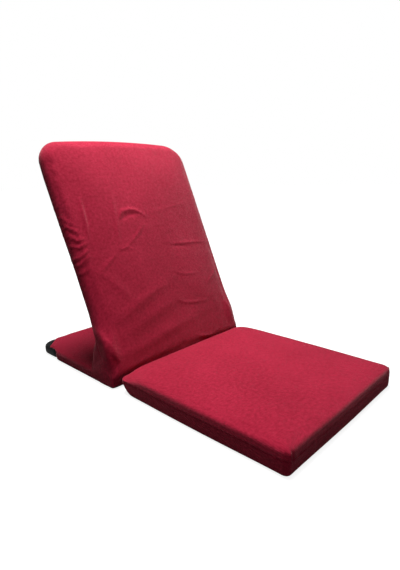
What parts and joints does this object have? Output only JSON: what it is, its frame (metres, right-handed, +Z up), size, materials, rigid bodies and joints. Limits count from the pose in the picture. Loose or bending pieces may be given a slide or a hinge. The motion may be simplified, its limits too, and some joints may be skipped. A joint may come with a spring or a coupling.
{
  "type": "folding floor chair",
  "caption": "Legless padded floor chair: a thick seat cushion and a backrest that folds forward over it, on a tube frame with a flat tail behind.",
  "frame": {"origin": "on the floor, at the middle of the chair's length and width", "axes": "+X to the right seen from the seat's front, +Y from the seat's front edge back towards the tail, +Z up"},
  "size_m": [0.479, 0.857, 0.5938],
  "materials": {
    "cover_cloth": "plain weave cotton",
    "foam": "open cell foam",
    "frame_paint": "satin powder coat",
    "black_plastic": "moulded, fine grain",
    "zinc_steel": "zinc plated",
    "nylon": "natural nylon",
    "webbing": "flat woven webbing"
  },
  "bodies": {
    "base": {"seat_cover_top": "cover_cloth", "seat_cover_lower": "cover_cloth", "seat_foam": "foam", "seat_tube": "frame_paint", "tail_tube": "frame_paint", "cross_tube": "frame_paint", "rail_end_plugs": "black_plastic", "corner_cap_left": "black_plastic", "corner_cap_right": "black_plastic", "hinge_bracket_left": "frame_paint", "hinge_bracket_right": "frame_paint", "bracket_rivets": "zinc_steel", "pivot_bolt_left": "zinc_steel", "pivot_bolt_right": "zinc_steel", "pivot_nut_left": "zinc_steel", "pivot_nut_right": "zinc_steel", "pivot_washers": "nylon", "tail_webbing": "webbing", "tail_pad": "foam", "tail_cover_top": "cover_cloth", "tail_cover_bottom": "cover_cloth", "hinge_boot_left": "cover_cloth", "hinge_boot_right": "cover_cloth", "gusset_front": "cover_cloth", "gusset_rear": "cover_cloth"},
    "back": {"back_tube": "frame_paint", "back_rung_lower": "frame_paint", "back_rung_upper": "frame_paint", "stop_pins": "zinc_steel", "back_webbing": "webbing", "back_pad": "foam", "back_cover_front": "cover_cloth", "back_cover_rear": "cover_cloth"}
  },
  "joints": [
    {"name": "back_fold", "type": "hinge", "parent": "base", "child": "back", "pos_m": [0, 0.1025, 0.085], "axis": [1, 0, 0], "range_deg": [0, 110], "deforming": ["hinge_boot_left", "hinge_boot_right", "gusset_front", "gusset_rear"]}
  ]
}
